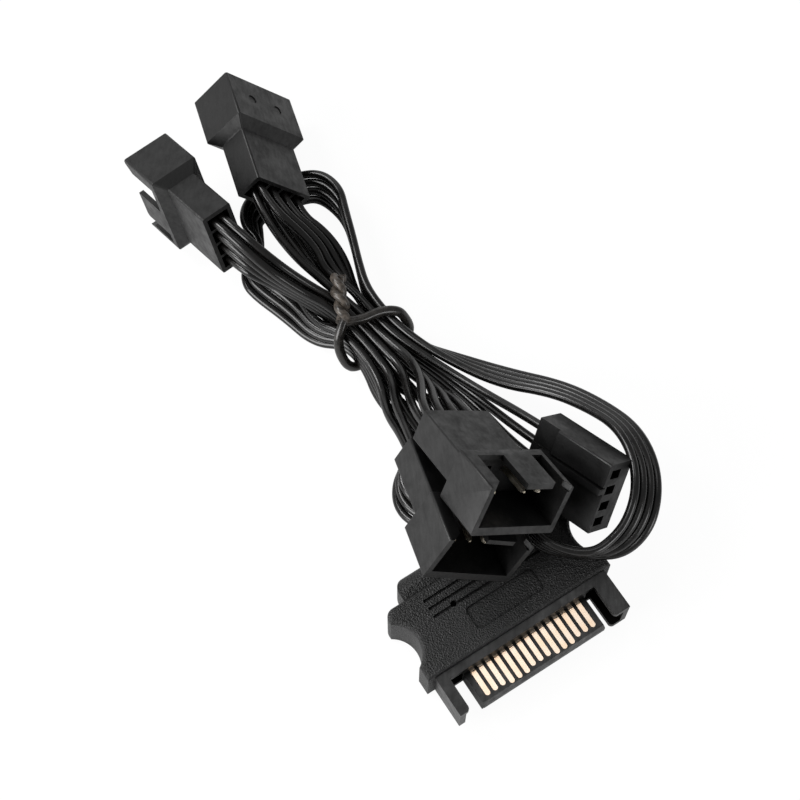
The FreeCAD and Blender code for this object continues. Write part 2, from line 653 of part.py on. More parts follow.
def tube(points, diameter):
    """Round tube along a bent path, with its path length and smallest bend."""
    path, smallest = bent_path(points)
    ring = Part.makeCircle(diameter / 2.0, points[0], points[1] - points[0])
    solid = path.makePipeShell([Part.Wire([ring])], True, False)
    return solid, path.Length, smallest


def socket_end(pose, length, row, step):
    """Two stations at a plug: where the wires seat inside it and where they leave it."""
    mouth, rear, side = pose
    along = V(rear).normalize()
    out = V(side) - along * along.dot(side)
    out.normalize()
    across = along.cross(out) * step
    seat = mouth + along * (length - WIRE_SEAT) + out * row
    lead = mouth + along * (length + WIRE_LEAD) + out * row
    return (seat, across), (lead, across)


def sata_end():
    """Two stations at the SATA plug: the bottom of the wire holes and the point outside them."""
    mouth, rear, side = SATA
    along = V(rear).normalize()
    across = along.cross(side) * STRAND_STEP
    lift = V(0, 0, WIRE_HOLE_HEIGHT)
    seat = mouth + along * (BOSS_REAR - WIRE_HOLE_DEPTH) + lift
    lead = mouth + along * (BOSS_REAR + WIRE_LEAD) + lift
    return (seat, across), (lead, across)


def strand_points(start, route, finish, strand):
    """Route points of one strand of a ribbon, its step kept square to the way the ribbon runs."""
    stations = [start[0], start[1]]
    for x, y, z, step in route:
        stations.append((V(x, y, z), V(*step)))
    stations = stations + [finish[1], finish[0]]
    points = []
    last = len(stations) - 1
    for index, (middle, step) in enumerate(stations):
        across = V(step)
        if 1 < index < last - 1:
            run = (stations[index + 1][0] - stations[index - 1][0]).normalize()
            across = across - run * run.dot(across)
            across = across.normalize() * step.Length
        points.append(middle + across * (strand - 1.5) - V(ORIGIN_X, ORIGIN_Y, 0))
    return points


def export(name, shape):
    """Write one piece, or one group of separate pieces, to its own file."""
    if isinstance(shape, list):
        shape = Part.makeCompound(shape)
    shape.exportStep("parts/" + name + ".step")
    box = shape.BoundBox
    print("%-22s solids %2d volume %8.2f  x %.2f %.2f  y %.2f %.2f  z %.2f %.2f" % (
        name, len(shape.Solids), shape.Volume, box.XMin, box.XMax, box.YMin, box.YMax, box.ZMin, box.ZMax))


housing = fan_housing()
for number, pose in enumerate((SOCKET_1, SOCKET_2, SOCKET_3, SOCKET_4), 1):
    missing = (1,) if number == 3 else ()
    export("fan_socket_%d" % number, place(housing, pose))
    export("fan_pins_%d" % number, [place(pin, pose) for pin in fan_terminals(missing)])

export("header_housing", place(header_housing(), HEADER))
export("header_terminals", [place(terminal, HEADER) for terminal in header_terminals()])

insert = sata_insert()
export("sata_grip", place(sata_grip(), SATA))
export("sata_insert", place(insert, SATA))
export("sata_contacts", [place(contact, SATA) for contact in sata_contacts()])

# Twist tie: the loop starts and ends in a knot, and a twisted tail leaves it
base = V(TIE_X - ORIGIN_X, TIE_Y - ORIGIN_Y, 0)
loop_points = [base + TIE_SIDE * q + TIE_RUN * s + V(0, 0, z) for q, s, z in TIE_LOOP]
knot = loop_points[0]
loop, loop_length, loop_bend = tube(loop_points, TIE_DIA)
tail_points = [knot] + [V(x - ORIGIN_X, y - ORIGIN_Y, z) for x, y, z in TIE_TAIL]
tail, tail_length, tail_bend = tube(tail_points, TIE_TAIL_DIA)
ball = Part.makeSphere(TIE_KNOT_DIA / 2.0, knot)
export("twist_tie", loop.fuse([tail, ball]))
print("tie loop length %.1f smallest bend %.2f" % (loop_length, loop_bend))

FAN_ENDS = {
    "1_upper": socket_end(SOCKET_1, SOCKET_LENGTH, -ROW_STEP / 2.0, -PIN_PITCH),
    "1_lower": socket_end(SOCKET_1, SOCKET_LENGTH, ROW_STEP / 2.0, -PIN_PITCH),
    "2_upper": socket_end(SOCKET_2, SOCKET_LENGTH, -ROW_STEP / 2.0, -PIN_PITCH),
    "2_lower": socket_end(SOCKET_2, SOCKET_LENGTH, ROW_STEP / 2.0, -PIN_PITCH),
    "3_upper": socket_end(SOCKET_3, SOCKET_LENGTH, ROW_STEP / 2.0, -PIN_PITCH),
    "3_lower": socket_end(SOCKET_3, SOCKET_LENGTH, -ROW_STEP / 2.0, -PIN_PITCH),
    "4_upper": socket_end(SOCKET_4, SOCKET_LENGTH, ROW_STEP / 2.0, -PIN_PITCH),
    "4_lower": socket_end(SOCKET_4, SOCKET_LENGTH, -ROW_STEP / 2.0, -PIN_PITCH),
}
HEADER_END = socket_end(HEADER, HEAD_LENGTH, 0.0, PIN_PITCH)

RIBBONS = [
    ("wire_1_header", FAN_ENDS["1_upper"], ROUTE_1_HEADER, HEADER_END),
    ("wire_1_3", FAN_ENDS["1_lower"], ROUTE_1_3, FAN_ENDS["3_upper"]),
    ("wire_2_3", FAN_ENDS["2_upper"], ROUTE_2_3, FAN_ENDS["3_lower"]),
    ("wire_2_4", FAN_ENDS["2_lower"], ROUTE_2_4, FAN_ENDS["4_upper"]),
    ("wire_4_sata", FAN_ENDS["4_lower"], ROUTE_4_SATA, sata_end()),
]
section = math.pi * WIRE_DIA ** 2 / 4.0
for name, start, route, finish in RIBBONS:
    for strand in range(4):
        wire, length, bend = tube(strand_points(start, route, finish, strand), WIRE_DIA)
        export("%s_%d" % (name, strand + 1), wire)
        print("   length %.1f  smallest bend %.2f  volume against section times length %.4f" % (
            length, bend, wire.Volume / (section * length)))
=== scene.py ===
# %% [markdown]
# # Fan splitter cable
# A short harness shares one SATA power plug and one fan header between four computer fans. Six plugs
# hang on flat ribbons of black wire, and a twist tie gathers the ribbons into a bundle.
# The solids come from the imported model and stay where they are. This lesson gives them finishes,
# draws the wires as smooth splines and adds the small pieces that the solids leave plain.
# Sizes of the harness are written in millimetres and turned to metres where Blender takes them.

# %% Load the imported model
import math
import bpy
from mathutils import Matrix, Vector


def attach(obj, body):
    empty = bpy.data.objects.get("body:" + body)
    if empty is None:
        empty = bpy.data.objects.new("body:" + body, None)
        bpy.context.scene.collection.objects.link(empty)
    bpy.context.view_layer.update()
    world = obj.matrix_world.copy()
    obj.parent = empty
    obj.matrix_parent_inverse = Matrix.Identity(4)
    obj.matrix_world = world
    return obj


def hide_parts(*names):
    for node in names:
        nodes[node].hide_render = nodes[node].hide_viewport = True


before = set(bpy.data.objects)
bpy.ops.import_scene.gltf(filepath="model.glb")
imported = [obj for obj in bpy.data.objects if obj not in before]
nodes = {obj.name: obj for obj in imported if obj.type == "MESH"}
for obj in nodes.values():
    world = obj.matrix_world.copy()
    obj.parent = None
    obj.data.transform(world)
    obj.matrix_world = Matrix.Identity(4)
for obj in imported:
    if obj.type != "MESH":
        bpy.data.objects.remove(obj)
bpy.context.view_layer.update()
MM = 0.001
print("loaded", len(nodes), "solids")

# %% [markdown]
# ## Camera
# The picture looks down steeply from the front with a long lens. A camera could be set by eye, but
# the plugs have corners at known distances, so its height, tilt and lens were worked out from those.
# The layout was drawn round the middle of the picture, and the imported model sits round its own
# middle. They differ by a few millimetres, so one shift moves every layout point over.

# %% Camera
ORIGIN = Vector((-4.863, 0.074, 0.0))
CAMERA_EYE = Vector((0.0, -100.7, 235.2))
CAMERA_ELEVATION = 66.83
CAMERA_LENS = 76.2
CAMERA_SENSOR = 36.0
CAMERA_NEAR = 10.0

scene = bpy.context.scene
camera_data = bpy.data.cameras.new("camera")
camera_data.lens = CAMERA_LENS
camera_data.sensor_width = CAMERA_SENSOR
camera_data.clip_start = CAMERA_NEAR * MM
camera = bpy.data.objects.new("camera", camera_data)
camera.location = (CAMERA_EYE - ORIGIN) * MM
camera.rotation_euler = (math.radians(90.0 - CAMERA_ELEVATION), 0.0, 0.0)
scene.collection.objects.link(camera)
scene.camera = camera
scene.view_settings.view_transform = "Standard"
print("camera at", [round(c, 4) for c in camera.location])

# %% [markdown]
# ## Tools for the finishes
# Every colour is written as the hex value a designer would pick and turned to linear light in one
# place. One helper adds a shader node, sets it up and links it, so each finish reads from top to
# bottom like a recipe.

# %% Colour and node helpers
def linear(hex_colour):
    """Linear colour with full alpha from an sRGB hex value such as #3a3a3a."""
    channels = [int(hex_colour[i:i + 2], 16) / 255.0 for i in (1, 3, 5)]
    bent = [c / 12.92 if c <= 0.04045 else ((c + 0.055) / 1.055) ** 2.4 for c in channels]
    return (*bent, 1.0)


def add_node(tree, kind, settings=None, inputs=None):
    """A new node with its settings made, its values set and its links drawn."""
    made = tree.nodes.new(kind)
    for name, value in (settings or {}).items():
        setattr(made, name, value)
    for key, value in (inputs or {}).items():
        if isinstance(value, bpy.types.NodeSocket):
            tree.links.new(value, made.inputs[key])
        else:
            made.inputs[key].default_value = value
    return made


def new_finish(name):
    """An empty node material with its output, and the Object coordinates that patterns read."""
    finish = bpy.data.materials.new(name)
    finish.use_nodes = True
    tree = finish.node_tree
    tree.nodes.clear()
    place = add_node(tree, "ShaderNodeTexCoord").outputs["Object"]
    output = add_node(tree, "ShaderNodeOutputMaterial")
    return finish, tree, place, output


def per_metre(millimetres):
    """Texture scale whose features are about this many millimetres wide."""
    return 1.0 / (millimetres * MM)


print("mid grey #808080 is", round(linear("#808080")[0], 3), "in linear light")

# %% [markdown]
# ## Moulded nylon
# The fan sockets and the header plug are injection moulded in black glass-filled nylon. The mould
# leaves a satin skin with faint flow streaks, and handling rubs it in patches. A picture could give
# this, but three noises do it on any shape: a wide cloud shifts tone and gloss, a noise stretched
# eight times along the moulding gives the streaks, and a fine one gives the skin its slight tooth.
# Real tooth is finer than a pixel here, so it is drawn half a millimetre wide to show at all.
# Black plastic is seen almost only by what it mirrors. So cloud and streaks also change how strongly
# it mirrors, and hollows mirror less: painted shade that darkens them. The SATA plug's insert is a
# harder polyester with a tighter skin, and takes the same recipe with other numbers.

# %% Moulded nylon for the sockets
CLOUD_MM = 3.0
STREAK_MM = 0.7
STREAK_SQUEEZE = 0.12
HOLLOW_SHADE_MM = 5.0


def moulded_plastic(name, dark, pale, rough_low, rough_high, tooth_mm, tooth_height, ior):
    """Moulded black plastic: cloudy tone, flow streaks, uneven gloss, painted shade in hollows,
    raised skin.
    """
    finish, tree, place, output = new_finish(name)
    cloud = add_node(tree, "ShaderNodeTexNoise", None, {
        "Vector": place, "Scale": per_metre(CLOUD_MM), "Detail": 4.0, "Roughness": 0.65})
    tone = add_node(tree, "ShaderNodeValToRGB", None, {"Fac": cloud.outputs["Fac"]})
    tone.color_ramp.elements[0].position = 0.32
    tone.color_ramp.elements[0].color = linear(dark)
    tone.color_ramp.elements[1].position = 0.70
    tone.color_ramp.elements[1].color = linear(pale)
    drawn = add_node(tree, "ShaderNodeMapping", None, {
        "Vector": place, "Rotation": (0.0, 0.4, 0.9), "Scale": (1.0, STREAK_SQUEEZE, 1.0)})
    streak = add_node(tree, "ShaderNodeTexNoise", None, {
        "Vector": drawn.outputs["Vector"], "Scale": per_metre(STREAK_MM), "Detail": 3.0,
        "Roughness": 0.6})
    rubbed = add_node(tree, "ShaderNodeMath", {"operation": "MULTIPLY_ADD"}, {
        0: streak.outputs["Fac"], 1: 0.6, 2: cloud.outputs["Fac"]})
    gloss = add_node(tree, "ShaderNodeMapRange", None, {
        "Value": rubbed.outputs["Value"], "From Min": 0.55, "From Max": 1.05,
        "To Min": rough_low, "To Max": rough_high})
    sheen = add_node(tree, "ShaderNodeMapRange", None, {
        "Value": rubbed.outputs["Value"], "From Min": 0.6, "From Max": 1.0,
        "To Min": 0.68, "To Max": 0.44})
    # Painted shade: hollows mirror less, so their insides look darker.
    hollow_shade = add_node(tree, "ShaderNodeAmbientOcclusion", {"only_local": True, "samples": 8}, {
        "Distance": HOLLOW_SHADE_MM * MM})
    shade = add_node(tree, "ShaderNodeMapRange", None, {
        "Value": hollow_shade.outputs["AO"], "From Min": 0.35, "From Max": 0.9,
        "To Min": 0.1, "To Max": 1.0})
    level = add_node(tree, "ShaderNodeMath", {"operation": "MULTIPLY"}, {
        0: sheen.outputs["Result"], 1: shade.outputs["Result"]})
    tooth = add_node(tree, "ShaderNodeTexNoise", None, {
        "Vector": place, "Scale": per_metre(tooth_mm), "Detail": 2.0, "Roughness": 0.5})
    skin = add_node(tree, "ShaderNodeBump", None, {
        "Strength": 0.5, "Distance": tooth_height * MM, "Height": tooth.outputs["Fac"]})
    shader = add_node(tree, "ShaderNodeBsdfPrincipled", None, {
        "Base Color": tone.outputs["Color"], "Roughness": gloss.outputs["Result"],
        "IOR": ior, "Specular IOR Level": level.outputs["Value"],
        "Normal": skin.outputs["Normal"]})
    tree.links.new(shader.outputs["BSDF"], output.inputs["Surface"])
    return finish


nylon = moulded_plastic("moulded_nylon", "#060606", "#0d0d0d", 0.34, 0.56, 0.5, 0.02, 1.50)
hard_insert = moulded_plastic("moulded_polyester", "#060606", "#0d0d0d", 0.30, 0.46, 0.5, 0.015,
                              1.55)
print("made", nylon.name, hard_insert.name)

# %% [markdown]
# ## Grained grip
# The SATA plug's grip is soft vinyl moulded in a spark-eroded tool, which leaves a matt leather-like
# grain of 0.2 to 0.3 mm that just shows at this distance. Real bumps that small would need millions
# of faces, so a bump in the finish does it: a cell noise gives the pebbles and a finer noise the
# pores between them. The grooves and the outline of the label are in the solid. Where its own walls
# stand close, the skin mirrors less: painted shade that darkens the creases.

# %% Grained vinyl for the grip
PEBBLE_MM = 0.30
PORE_MM = 0.17
GRAIN_HEIGHT = 0.08
BLOTCH_MM = 5.0
CREASE_SHADE_MM = 0.6


def grained_vinyl(name):
    """Matt vinyl with a grain of pebbles and pores, and painted shade in its creases."""
    finish, tree, place, output = new_finish(name)
    pebbles = add_node(tree, "ShaderNodeTexVoronoi", {"feature": "SMOOTH_F1"}, {
        "Vector": place, "Scale": per_metre(PEBBLE_MM), "Smoothness": 0.2})
    pores = add_node(tree, "ShaderNodeTexNoise", None, {
        "Vector": place, "Scale": per_metre(PORE_MM), "Detail": 1.0, "Roughness": 0.6})
    grain = add_node(tree, "ShaderNodeMath", {"operation": "MULTIPLY_ADD"}, {
        0: pores.outputs["Fac"], 1: 2.0, 2: pebbles.outputs["Distance"]})
    skin = add_node(tree, "ShaderNodeBump", None, {
        "Strength": 1.0, "Distance": GRAIN_HEIGHT * MM, "Height": grain.outputs["Value"]})
    cloud = add_node(tree, "ShaderNodeTexNoise", None, {
        "Vector": place, "Scale": per_metre(BLOTCH_MM), "Detail": 3.0})
    tone = add_node(tree, "ShaderNodeValToRGB", None, {"Fac": cloud.outputs["Fac"]})
    tone.color_ramp.elements[0].position = 0.3
    tone.color_ramp.elements[0].color = linear("#080808")
    tone.color_ramp.elements[1].position = 0.7
    tone.color_ramp.elements[1].color = linear("#0f0f0f")
    # Painted shade: creases mirror less, so they look darker.
    crease = add_node(tree, "ShaderNodeAmbientOcclusion", {"only_local": True, "samples": 8}, {
        "Distance": CREASE_SHADE_MM * MM})
    crease_shade = add_node(tree, "ShaderNodeMapRange", None, {
        "Value": crease.outputs["AO"], "From Min": 0.5, "From Max": 0.95,
        "To Min": 0.1, "To Max": 0.5})
    shader = add_node(tree, "ShaderNodeBsdfPrincipled", None, {
        "Base Color": tone.outputs["Color"], "Roughness": 0.44, "IOR": 1.52,
        "Specular IOR Level": crease_shade.outputs["Result"], "Normal": skin.outputs["Normal"]})
    tree.links.new(shader.outputs["BSDF"], output.inputs["Surface"])
    return finish


grip_vinyl = grained_vinyl("grained_vinyl")
print("made", grip_vinyl.name)

# %% [markdown]
# ## Wire jackets and tie
# The wires have extruded PVC jackets. Extrusion leaves a glossy skin that is a little wavy, so a
# highlight breaks up along the wire. One plain black would leave it a hard unbroken line, so one
# slow noise moves tone, gloss and height together. The tie is the same plastic pulled over a soft
# steel core. Handling has dulled it, so it takes the same recipe with paler tones and a shorter
# wave, and its twisted end takes still paler tones.

# %% Extruded jackets
WAVE_HEIGHT = 0.03


def extruded_jacket(name, dark, pale, rough_low, rough_high, wave_mm):
    """Glossy extruded PVC with slow changes of gloss and a slight waviness."""
    finish, tree, place, output = new_finish(name)
    wave = add_node(tree, "ShaderNodeTexNoise", None, {
        "Vector": place, "Scale": per_metre(wave_mm), "Detail": 3.0, "Roughness": 0.55})
    tone = add_node(tree, "ShaderNodeValToRGB", None, {"Fac": wave.outputs["Fac"]})
    tone.color_ramp.elements[0].position = 0.35
    tone.color_ramp.elements[0].color = linear(dark)
    tone.color_ramp.elements[1].position = 0.7
    tone.color_ramp.elements[1].color = linear(pale)
    gloss = add_node(tree, "ShaderNodeMapRange", None, {
        "Value": wave.outputs["Fac"], "From Min": 0.3, "From Max": 0.7,
        "To Min": rough_low, "To Max": rough_high})
    skin = add_node(tree, "ShaderNodeBump", None, {
        "Strength": 0.15, "Distance": WAVE_HEIGHT * MM, "Height": wave.outputs["Fac"]})
    shader = add_node(tree, "ShaderNodeBsdfPrincipled", None, {
        "Base Color": tone.outputs["Color"], "Roughness": gloss.outputs["Result"],
        "IOR": 1.54, "Normal": skin.outputs["Normal"]})
    tree.links.new(shader.outputs["BSDF"], output.inputs["Surface"])
    return finish


wire_jacket = extruded_jacket("extruded_wire_jacket", "#070707", "#110f0e", 0.20, 0.32, 2.4)
tie_jacket = extruded_jacket("dulled_tie_jacket", "#181716", "#302d2a", 0.18, 0.32, 0.9)
tail_jacket = extruded_jacket("pale_tie_end", "#2b2723", "#5c544c", 0.26, 0.44, 0.7)
print("made", wire_jacket.name, tie_jacket.name, tail_jacket.name)

# %% [markdown]
# ## Plated metal
# The contacts of the SATA plug are phosphor bronze with a thin flash of gold, rubbed pale where
# they have mated. The fan pins are brass with bright tin. Both are metals, so their colour is in
# the reflection. Scratches on them are far finer than a pixel, so they are not drawn: they count as
# roughness, which one noise varies in patches together with the colour.

# %% Plated contacts and pins
def plated_metal(name, worn, fresh, rough_low, rough_high, patch_mm):
    """Plated metal with worn patches of other colour and gloss."""
    finish, tree, place, output = new_finish(name)
    patch = add_node(tree, "ShaderNodeTexNoise", None, {
        "Vector": place, "Scale": per_metre(patch_mm), "Detail": 4.0, "Roughness": 0.6})
    tone = add_node(tree, "ShaderNodeValToRGB", None, {"Fac": patch.outputs["Fac"]})
    tone.color_ramp.elements[0].position = 0.35
    tone.color_ramp.elements[0].color = linear(worn)
    tone.color_ramp.elements[1].position = 0.65
    tone.color_ramp.elements[1].color = linear(fresh)
    gloss = add_node(tree, "ShaderNodeMapRange", None, {
        "Value": patch.outputs["Fac"], "From Min": 0.3, "From Max": 0.7,
        "To Min": rough_low, "To Max": rough_high})
    shader = add_node(tree, "ShaderNodeBsdfPrincipled", None, {
        "Base Color": tone.outputs["Color"], "Metallic": 1.0,
        "Roughness": gloss.outputs["Result"]})
    tree.links.new(shader.outputs["BSDF"], output.inputs["Surface"])
    return finish


contact_gold = plated_metal("gold_flash_bronze", "#dfc6ac", "#f6e4d2", 0.20, 0.28, 2.5)
pin_tin = plated_metal("tinned_brass", "#c4baa6", "#e4dccb", 0.30, 0.42, 2.0)
print("made", contact_gold.name, pin_tin.name)

# %% [markdown]
# ## Dress the solids
# The solids of the plugs already have the right shape, so they stay and only take a finish. A CAD
# mesh is loose triangles with razor edges, and a real moulding has none. Rounding every edge in the
# solids would make them heavy, so modifiers do it: Weld joins the triangles, and Bevel rounds the
# edges by 0.15 mm, as a mould does, so that they catch the light. The grip's solid has its large
# roundings already and takes only 0.05 mm. The metal keeps its stamped edges.

# %% Finishes and soft edges on the solids
EDGE_ROUND = 0.15
GRIP_EDGE_ROUND = 0.05
EDGE_ANGLE = 32.0
WELD_REACH = 0.001

SOLID_FINISH = {"header_housing": nylon, "header_terminals": pin_tin, "sata_grip": grip_vinyl,
                "sata_insert": hard_insert, "sata_contacts": contact_gold}
for number in range(1, 5):
    SOLID_FINISH["fan_socket_%d" % number] = nylon
    SOLID_FINISH["fan_pins_%d" % number] = pin_tin

for name, finish in SOLID_FINISH.items():
    solid = nodes[name]
    solid.data.materials.clear()
    solid.data.materials.append(finish)
    if finish in (nylon, hard_insert, grip_vinyl):
        weld = solid.modifiers.new("join_triangles", "WELD")
        weld.merge_threshold = WELD_REACH * MM
        bevel = solid.modifiers.new("round_edges", "BEVEL")
        bevel.width = (GRIP_EDGE_ROUND if finish is grip_vinyl else EDGE_ROUND) * MM
        bevel.segments = 2
        bevel.limit_method = "ANGLE"
        bevel.angle_limit = math.radians(EDGE_ANGLE)
print("dressed", len(SOLID_FINISH), "solids")

# %% [markdown]
# ## Wires
# Five flat ribbons join the plugs, each of four wires side by side. Drawing twenty wires one by one
# would let them drift apart, so a ribbon is drawn once: a list of stations gives its middle and the
# step from one wire to the next, and it can twist from flat to standing on edge. A ribbon starts and
# ends inside a plug, so the first thing needed is where each plug is and which way it points.

# %% Poses of the plugs that hold the wires
WIRE_DIA = 1.3
WIRES_PER_RIBBON = 4
PIN_PITCH = 2.54
ROW_HALF = 0.68
STRAND_STEP = 1.36
WIRE_SEAT = 3.0
WIRE_LEAD = 2.6
SOCKET_LENGTH = 19.5
HEADER_LENGTH = 13.6
BOSS_REAR = 16.0
HOLE_DEPTH = 2.0
HOLE_HEIGHT = 4.0

# Each pose is the middle of the plug's mouth, the way to its rear and the way out of its marked side.
SOCKET_1 = (Vector((-24.86, 47.96, 7.642)), Vector((0.294, -0.948, 0.119)),
            Vector((-0.685, -0.296, -0.666)))
SOCKET_2 = (Vector((-37.46, 34.37, 6.65)), Vector((0.598, -0.721, 0.349)),
            Vector((-0.775, -0.631, 0.025)))
SOCKET_3 = (Vector((16.21, -26.17, 23.80)), Vector((-0.467, 0.792, -0.392)),
            Vector((0.341, 0.571, 0.747)))
SOCKET_4 = (Vector((10.66, -30.90, 16.70)), Vector((-0.295, 0.916, -0.271)),
            Vector((0.458, 0.385, 0.801)))
HEADER = (Vector((28.52, -21.18, 15.05)), Vector((-0.688, 0.650, -0.324)),
          Vector((-0.674, -0.406, 0.617)))
SATA = (Vector((17.35, -37.71, 0.0)), Vector((-0.543, 0.839, 0.0)), Vector((0.0, 0.0, 1.0)))


def plug_axes(pose):
    """Directions of a plug: mouth to rear, out of the marked side, and along the row of ways."""
    along = pose[1].normalized()
    out = (pose[2] - along * along.dot(pose[2])).normalized()
    return along, out, along.cross(out)


def plug_end(pose, length, row, step):
    """Stations where a ribbon seats inside a plug and where it leaves the plug."""
    along, out, across = plug_axes(pose)
    seat = pose[0] + along * (length - WIRE_SEAT) + out * row
    lead = pose[0] + along * (length + WIRE_LEAD) + out * row
    return (seat, across * step), (lead, across * step)


def sata_end():
    """Stations at the bottom of the wire holes of the SATA plug and just outside them."""
    along, out, across = plug_axes(SATA)
    seat = SATA[0] + along * (BOSS_REAR - HOLE_DEPTH) + out * HOLE_HEIGHT
    lead = SATA[0] + along * (BOSS_REAR + WIRE_LEAD) + out * HOLE_HEIGHT
    return (seat, across * STRAND_STEP), (lead, across * STRAND_STEP)


print("poses of", len((SOCKET_1, SOCKET_2, SOCKET_3, SOCKET_4, HEADER, SATA)), "plugs")

# %% [markdown]
# ## Routes of the ribbons
# The tie gathers everything in one place. There the ribbons stand on edge next to each other like
# books, each in its own lane, because piled flat they would be wider than the tie. The stations are
# those of the solids. Those at the loops and beside the plugs are moved by up to 3 mm to
# follow how the ribbons spread in the picture.

# %% Lanes under the tie and the routes of the ribbons
TIE_MIDDLE = Vector((-4.2, 8.6, 0.0))
TIE_RUN = Vector((0.65, -0.76, 0.0))
TIE_SIDE = Vector((0.76, 0.65, 0.0))
LANE_HEIGHT = 4.3
LANE_STEP = 1.4
LANE_MIDDLE = 3.5
LANE_HALF_RUN = 2.5
UP = (0.0, 0.0, STRAND_STEP)
LOOSE = (0.0, 0.0, 1.42)
FLARE = (-0.7, -0.2, 1.5)


def lane(number):
    """Two stations that take a ribbon on edge through the tie, in lane 1 to 6."""
    aside = (number - LANE_MIDDLE) * LANE_STEP
    middle = TIE_MIDDLE + TIE_SIDE * aside + Vector((0.0, 0.0, LANE_HEIGHT))
    entry = middle - TIE_RUN * LANE_HALF_RUN
    leave = middle + TIE_RUN * LANE_HALF_RUN
    return [(*entry, UP), (*leave, UP)]


ROUTE_1_HEADER = [
    (-12.2, 23.4, 8.0, (-1.1, -0.3, 1.2)),
    (-10.0, 20.1, 5.6, (-1.3, -0.5, 1.0)),
    (-7.3, 16.3, 4.7, (-0.4, -0.15, 1.35)),
] + lane(5) + [
    (4.6, 3.7, 4.2, LOOSE),
    (11.3, -2.5, 5.4, (0.2, 0.4, 1.6)),
]
ROUTE_1_3 = [
    (-15.4, 21.4, 8.2, (-1.2, -0.2, 1.3)),
    (-11.0, 16.5, 6.0, (-0.5, -0.1, 1.3)),
] + lane(4) + [
    (2.1, 2.4, 5.8, (0.0, 0.2, 1.45)),
    (5.2, -2.4, 10.2, (-0.95, -0.3, 1.4)),
]
ROUTE_2_3 = [
    (-19.4, 16.0, 12.9, (-0.2, 0.05, 1.65)),
    (-14.6, 14.9, 8.8, (0.0, -0.3, 1.4)),
    (-10.4, 13.1, 6.6, UP),
] + lane(3) + [
    (0.2, 0.9, 4.9, (0.45, 0.4, 1.3)),
    (3.9, -3.5, 8.4, (-1.4, -0.55, 1.4)),
]
ROUTE_2_4 = [
    (-20.2, 14.7, 12.7, (-0.2, 0.05, 1.65)),
    (-15.4, 13.6, 8.7, (0.0, -0.3, 1.4)),
    (-11.2, 11.8, 7.0, UP),
] + lane(2) + [
    (-1.4, 0.1, 4.4, (0.3, 0.25, 1.37)),
    (1.1, -5.0, 7.6, (-0.95, -0.3, 1.42)),
]
ROUTE_4_SATA = [
    (-0.5, -5.8, 5.7, FLARE),
    (-3.0, -0.8, 4.4, (0.2, 0.15, 1.4)),
] + lane(1)[::-1] + [
    (-12.9, 9.9, 2.5, (0.26, 0.4, 1.32)),
    (-16.7, 14.6, 2.3, (0.6, 0.9, 0.95)),
    (-21.0, 18.0, 2.3, (0.75, 0.75, 0.95)),
    (-22.6, 19.7, 2.4, (0.9, 0.45, 1.0)),
    (-23.1, 21.7, 2.6, (0.7, 0.1, 1.2)),
    (-21.6, 24.4, 2.8, (0.1, 0.0, 1.4)),
    (-23.2, 27.8, 2.7, (-0.8, 0.0, 1.15)),
    (-23.3, 31.0, 2.4, (-0.7, 0.3, 1.12)),
    (-20.0, 33.9, 1.7, (-0.55, 1.1, 0.6)),
    (-16.0, 35.8, 1.6, (-0.3, 1.22, 0.52)),
    (-12.8, 35.9, 2.2, (0.2, 1.02, 0.92)),
    (-10.1, 33.5, 2.7, (0.4, 0.5, 1.2)),
    (-8.4, 29.8, 3.0, (0.0, -0.2, 1.34)),
    (-7.2, 25.2, 3.3, (0.0, -0.45, 1.28)),
    (-6.2, 20.4, 3.7, (0.0, -0.4, 1.3)),
    (-5.2, 16.2, 4.0, UP),
] + lane(6) + [
    (6.2, 5.6, 4.4, (-0.2, -0.7, 1.17)),
    (15.2, 0.8, 6.3, (-0.4, -1.05, 0.82)),
    (23.0, -2.0, 8.8, (-0.6, -0.85, 0.9)),
    (28.2, -6.0, 11.6, (-0.85, -0.6, 0.87)),
    (31.9, -10.2, 14.3, (-1.0, -0.35, 0.85)),
    (33.9, -15.4, 15.6, (-1.1, -0.1, 0.8)),
    (34.2, -20.4, 15.2, (-1.1, 0.1, 0.8)),
    (33.0, -24.5, 13.3, (-0.9, 0.5, 0.88)),
    (30.3, -27.0, 11.2, (-0.55, 0.4, 1.27)),
    (26.6, -28.0, 10.9, (0.0, -0.3, 1.33)),
    (22.8, -27.6, 10.8, (0.0, -0.3, 1.33)),
    (19.4, -26.3, 10.9, UP),
    (17.4, -23.0, 11.0, UP),
    (16.2, -18.6, 9.7, UP),
    (13.6, -14.0, 5.6, UP),
    (10.2, -10.4, 3.3, UP),
    (6.0, -8.6, 2.8, UP),
    (1.8, -9.6, 2.8, UP),
    (-0.2, -13.3, 2.9, (0.3, 0.1, 1.36)),
    (0.8, -17.3, 3.3, (0.75, 0.75, 1.02)),
    (4.3, -19.9, 3.8, (1.0, 0.9, 0.45)),
]
ROUTES = (ROUTE_1_HEADER, ROUTE_1_3, ROUTE_2_3, ROUTE_2_4, ROUTE_4_SATA)
print("routes with", [len(route) for route in ROUTES], "stations")

# %% [markdown]
# ## Drawing the wires
# A wire could be a swept mesh, but a curve object with a round section stays light and smooth. Each
# wire is one open NURBS spline of order three with its own row of control points, which bends softly
# as a limp wire does. The step between wires is first turned square to the run, so that the wires of
# a ribbon keep their distance in a bend.

# %% Control points and splines
STRAND_MIDDLE = (WIRES_PER_RIBBON - 1) / 2.0


def strand_points(start, route, finish, strand):
    """Control points of one wire of a ribbon, in metres in the model's frame."""
    stations = [start[0], start[1]]
    for x, y, z, step in route:
        stations.append((Vector((x, y, z)), Vector(step)))
    stations = stations + [finish[1], finish[0]]
    last = len(stations) - 1
    points = []
    for index, (middle, step) in enumerate(stations):
        across = step.copy()
        if 1 < index < last - 1:
            run = (stations[index + 1][0] - stations[index - 1][0]).normalized()
            across = (across - run * run.dot(across)).normalized() * step.length
        points.append((middle + across * (strand - STRAND_MIDDLE) - ORIGIN) * MM)
    return points


